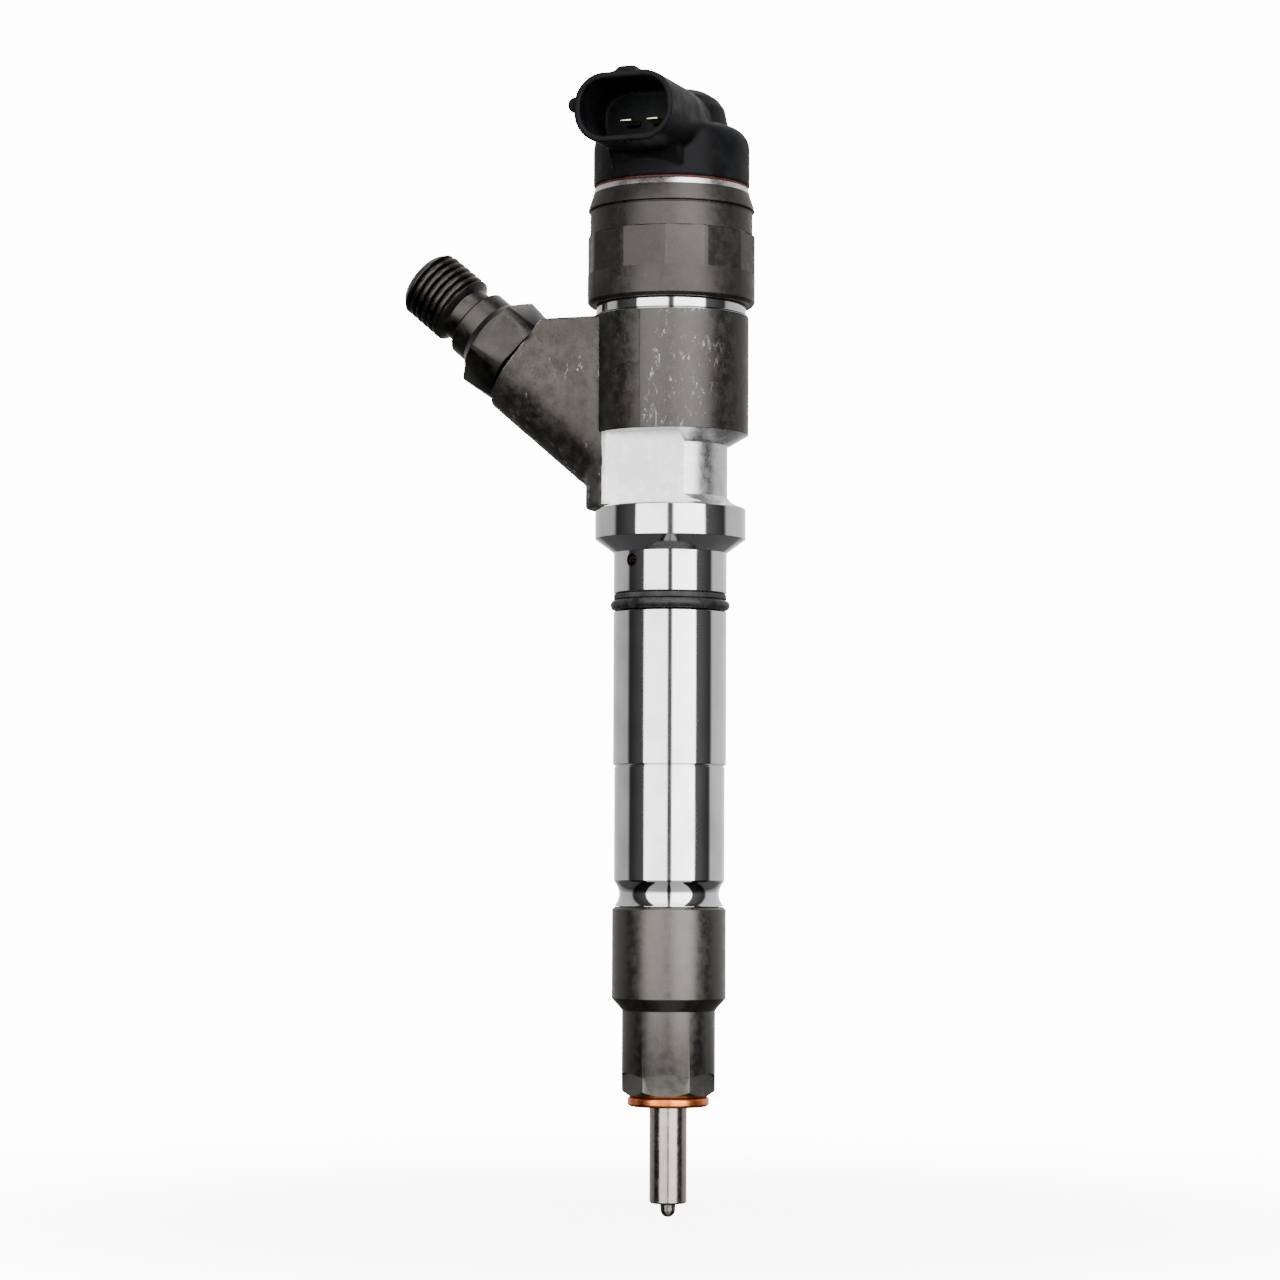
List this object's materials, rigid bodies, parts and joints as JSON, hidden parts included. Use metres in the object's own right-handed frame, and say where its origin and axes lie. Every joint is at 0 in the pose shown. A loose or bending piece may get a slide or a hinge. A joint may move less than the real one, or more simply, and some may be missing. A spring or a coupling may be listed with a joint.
{
  "type": "fuel injector",
  "caption": "Common-rail diesel fuel injector: slim nozzle under a polished shank, forged body with an inclined threaded inlet arm, solenoid nut and moulded two-blade connector cap.",
  "frame": {"origin": "centre of the seat face under the copper washer, on the nozzle's axis", "axes": "+Z along the nozzle's axis towards the solenoid, the inlet arm leans towards -X, the electrical connector opens towards -Y"},
  "size_m": [0.0702, 0.0424, 0.2122],
  "materials": {
    "forged_steel": "forged and scuffed, turned bright below the flange",
    "phosphated_steel": "phosphated, satin",
    "black_oxide_steel": "black oxide, satin",
    "ground_steel": "ground, satin",
    "polished_steel": "lapped bright",
    "spring_steel": "drawn wire",
    "soft_iron": "sintered, matt",
    "copper": "soft annealed copper",
    "winding_copper": "enamelled wire",
    "terminal_metal": "tinned brass",
    "cap_plastic": "glass-filled nylon, satin black",
    "bobbin_plastic": "moulded, natural",
    "sealing_plastic": "filled sealing plastic",
    "black_rubber": "smooth",
    "brown_rubber": "smooth, red-brown"
  },
  "bodies": {
    "injector": {"injector_body": "forged_steel", "inlet_fitting": "black_oxide_steel", "inlet_sealing_washer": "black_rubber", "edge_filter": "ground_steel", "solenoid_nut": "phosphated_steel", "connector_cap": "cap_plastic", "terminal_blades": "terminal_metal", "cap_seal_ring": "brown_rubber", "solenoid_sleeve": "ground_steel", "magnet_core": "soft_iron", "coil_bobbin": "bobbin_plastic", "coil_winding": "winding_copper", "solenoid_spring": "spring_steel", "spring_shim": "ground_steel", "armature_return_spring": "spring_steel", "armature_guide": "ground_steel", "lift_setting_ring": "ground_steel", "valve_clamp_nut": "phosphated_steel", "valve_piece": "ground_steel", "valve_seal_ring": "sealing_plastic", "nozzle_spring": "spring_steel", "nozzle_spring_shim": "ground_steel", "locating_dowels": "ground_steel", "nozzle_body": "ground_steel", "nozzle_retaining_nut": "phosphated_steel", "copper_washer": "copper", "shank_seal_ring": "black_rubber", "backup_ring": "black_rubber", "solenoid_seal_ring": "black_rubber"},
    "needle": {"nozzle_needle": "polished_steel", "pressure_pin": "polished_steel"},
    "piston": {"control_piston": "polished_steel"},
    "armature": {"armature_pin": "polished_steel", "armature_clip": "spring_steel"},
    "plate": {"armature_plate": "soft_iron"},
    "ball": {"valve_ball": "polished_steel", "ball_holder": "ground_steel"}
  },
  "joints": [
    {"name": "needle_lift", "type": "slide", "parent": "injector", "child": "needle", "axis": [0, 0, 1], "range_m": [0, 0.00025], "stiffness_N_per_m": 2000, "springref_m": -0.005, "deforming": ["nozzle_spring"]},
    {"name": "piston_lift", "type": "slide", "parent": "injector", "child": "piston", "axis": [0, 0, 1], "range_m": [0, 0.00025]},
    {"name": "armature_lift", "type": "slide", "parent": "injector", "child": "armature", "axis": [0, 0, 1], "range_m": [0, 0.00006], "stiffness_N_per_m": 1000, "springref_m": -0.01, "deforming": ["solenoid_spring"]},
    {"name": "ball_lift", "type": "slide", "parent": "injector", "child": "ball", "axis": [0, 0, 1], "range_m": [0, 0.00006]},
    {"name": "plate_overtravel", "type": "slide", "parent": "armature", "child": "plate", "axis": [0, 0, 1], "range_m": [-0.00003, 0], "stiffness_N_per_m": 500, "springref_m": 0.002, "deforming": ["armature_return_spring"]}
  ],
  "couplings": [
    {"joint": "piston_lift", "follows": "needle_lift", "ratio": 1},
    {"joint": "ball_lift", "follows": "armature_lift", "ratio": 1}
  ]
}
